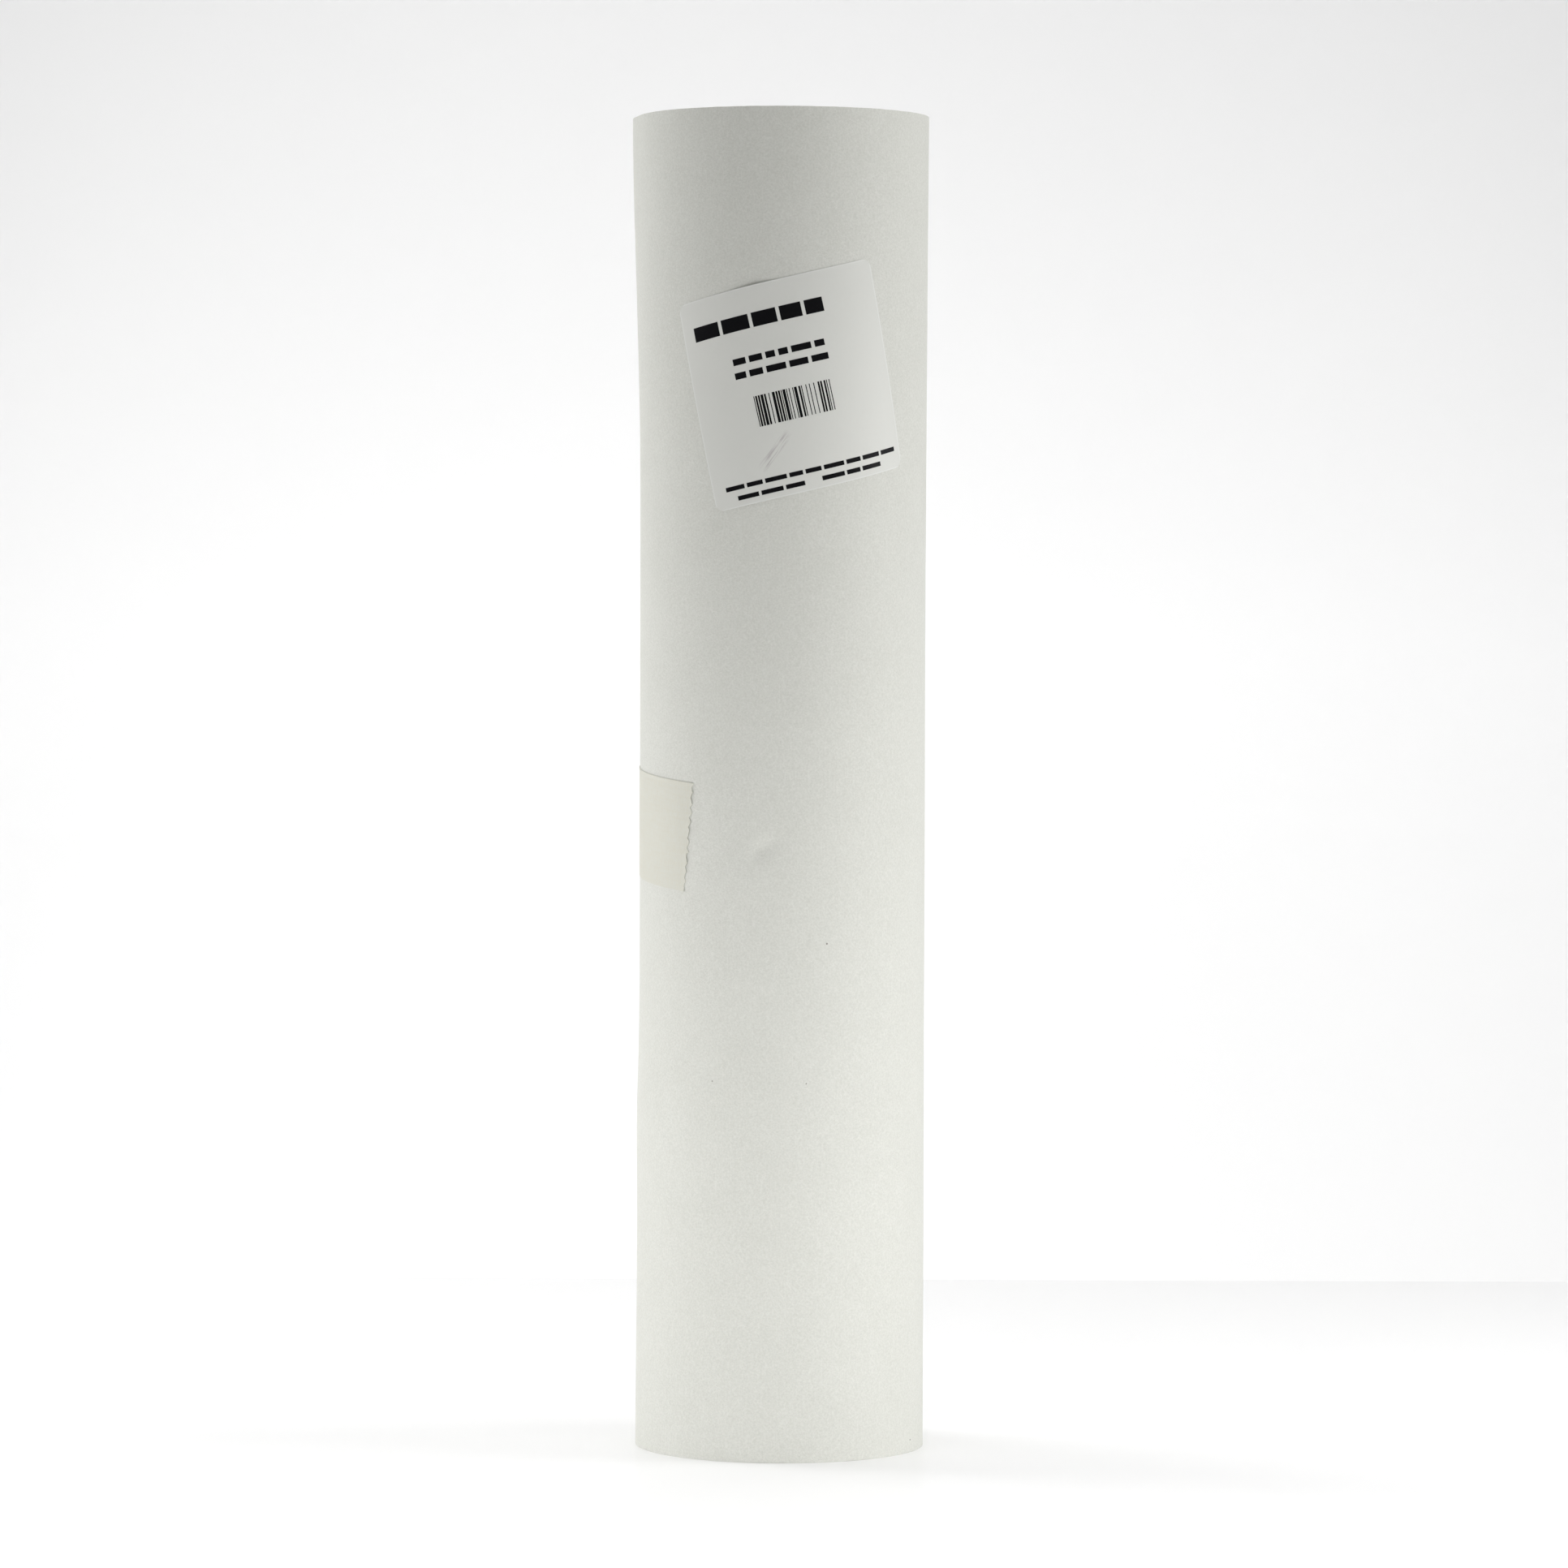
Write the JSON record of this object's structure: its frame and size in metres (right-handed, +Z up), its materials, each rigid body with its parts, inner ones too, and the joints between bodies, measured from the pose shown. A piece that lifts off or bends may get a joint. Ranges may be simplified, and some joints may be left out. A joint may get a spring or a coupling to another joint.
{
  "type": "roll of fiberglass mat",
  "caption": "Standing roll of fine white fiberglass mat on a cardboard tube, with a plain square label and a strip of masking tape that holds its loose end.",
  "frame": {"origin": "on the roll's axis, on the end that it stands on", "axes": "+Z up along the roll's axis, -Y towards the front with the label, +X to the right"},
  "size_m": [0.1342, 0.1314, 0.6],
  "materials": {
    "glass_mat": "matt white non-woven glass fiber",
    "cardboard_tube": "matt brown wound cardboard",
    "label_paper": "satin white paper with plain dark bars",
    "masking_tape": "creped pale cream paper"
  },
  "bodies": {
    "root": {"mat_roll": "glass_mat", "core_tube": "cardboard_tube", "label": "label_paper", "tape": "masking_tape"}
  },
  "joints": []
}
